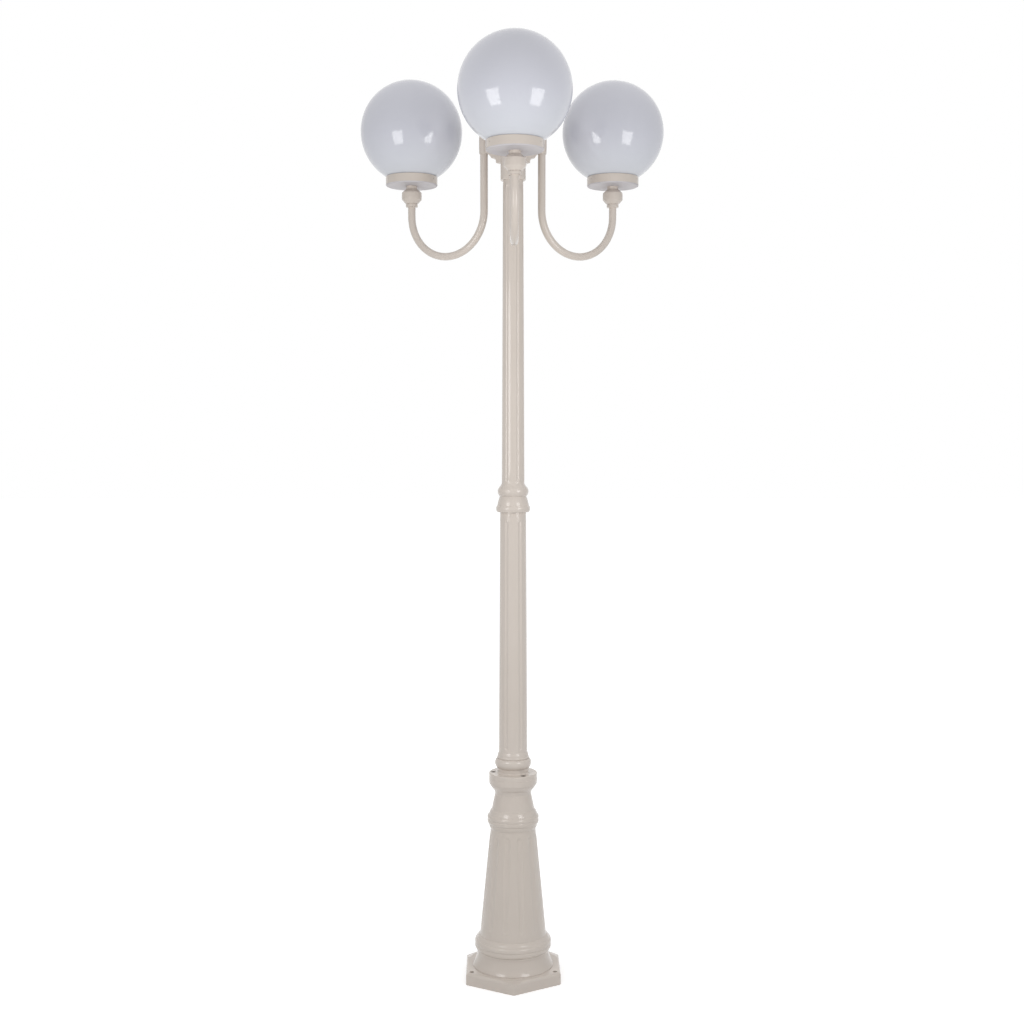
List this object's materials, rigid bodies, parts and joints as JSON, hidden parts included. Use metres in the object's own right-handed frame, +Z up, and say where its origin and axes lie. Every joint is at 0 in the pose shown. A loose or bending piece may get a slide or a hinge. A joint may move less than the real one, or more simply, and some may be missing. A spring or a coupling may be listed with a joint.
{
  "type": "triple head lamp post",
  "caption": "Free-standing fluted garden lamp post on a hexagonal cast foot, with opal globes on U-shaped swan-neck arms that leave a central bracket.",
  "frame": {"origin": "centre of the foot's underside, on the post's axis", "axes": "+Z up along the post; the front globe is towards -Y"},
  "size_m": [0.8974, 0.8174, 2.629],
  "materials": {
    "cream_paint": "glossy powder coat",
    "cream_screw": "painted over",
    "black_steel": "black oxide",
    "zinc_steel": "zinc plated",
    "white_disc": "glossy white",
    "rubber": "matt",
    "white_ceramic": "glazed",
    "brass": "bright",
    "opal_globe": "glossy opal",
    "zinc_cap": "satin",
    "frosted_glass": "frosted"
  },
  "bodies": {
    "post": {"pedestal": "cream_paint", "lower_pole": "cream_paint", "foot_screws": "black_steel", "joint_sleeve": "zinc_steel", "upper_pole": "cream_paint", "bracket": "cream_paint", "hub_screws": "cream_screw", "hub_cap": "cream_paint", "hub_cap_screws": "cream_screw", "arm_screws": "cream_screw", "arm_tube_front": "cream_paint", "arm_joint_front": "cream_paint", "head_neck_front": "cream_paint", "base_disc_front": "white_disc", "gallery_front": "cream_paint", "gasket_front": "rubber", "globe_screws_front": "cream_screw", "nipple_front": "zinc_steel", "nipple_nut_front": "zinc_steel", "lampholder_front": "white_ceramic", "holder_contacts_front": "brass", "arm_tube_left": "cream_paint", "arm_joint_left": "cream_paint", "head_neck_left": "cream_paint", "base_disc_left": "white_disc", "gallery_left": "cream_paint", "gasket_left": "rubber", "globe_screws_left": "cream_screw", "nipple_left": "zinc_steel", "nipple_nut_left": "zinc_steel", "lampholder_left": "white_ceramic", "holder_contacts_left": "brass", "arm_tube_right": "cream_paint", "arm_joint_right": "cream_paint", "head_neck_right": "cream_paint", "base_disc_right": "white_disc", "gallery_right": "cream_paint", "gasket_right": "rubber", "globe_screws_right": "cream_screw", "nipple_right": "zinc_steel", "nipple_nut_right": "zinc_steel", "lampholder_right": "white_ceramic", "holder_contacts_right": "brass"},
    "globe_front": {"globe_front": "opal_globe"},
    "lamp_front": {"lamp_cap_front": "zinc_cap", "lamp_glass_front": "frosted_glass"},
    "globe_left": {"globe_left": "opal_globe"},
    "lamp_left": {"lamp_cap_left": "zinc_cap", "lamp_glass_left": "frosted_glass"},
    "globe_right": {"globe_right": "opal_globe"},
    "lamp_right": {"lamp_cap_right": "zinc_cap", "lamp_glass_right": "frosted_glass"}
  },
  "joints": [
    {"name": "globe_front_lift", "type": "slide", "parent": "post", "child": "globe_front", "axis": [0, 0, 1], "range_m": [0, 0.2]},
    {"name": "lamp_front_unscrew", "type": "hinge", "parent": "post", "child": "lamp_front", "pos_m": [0, -0.345, 2.4], "axis": [0, 0, 1], "continuous": true},
    {"name": "globe_left_lift", "type": "slide", "parent": "post", "child": "globe_left", "axis": [0, 0, 1], "range_m": [0, 0.2]},
    {"name": "lamp_left_unscrew", "type": "hinge", "parent": "post", "child": "lamp_left", "pos_m": [-0.29878, 0.1725, 2.4], "axis": [0, 0, 1], "continuous": true},
    {"name": "globe_right_lift", "type": "slide", "parent": "post", "child": "globe_right", "axis": [0, 0, 1], "range_m": [0, 0.2]},
    {"name": "lamp_right_unscrew", "type": "hinge", "parent": "post", "child": "lamp_right", "pos_m": [0.29878, 0.1725, 2.4], "axis": [0, 0, 1], "continuous": true}
  ]
}
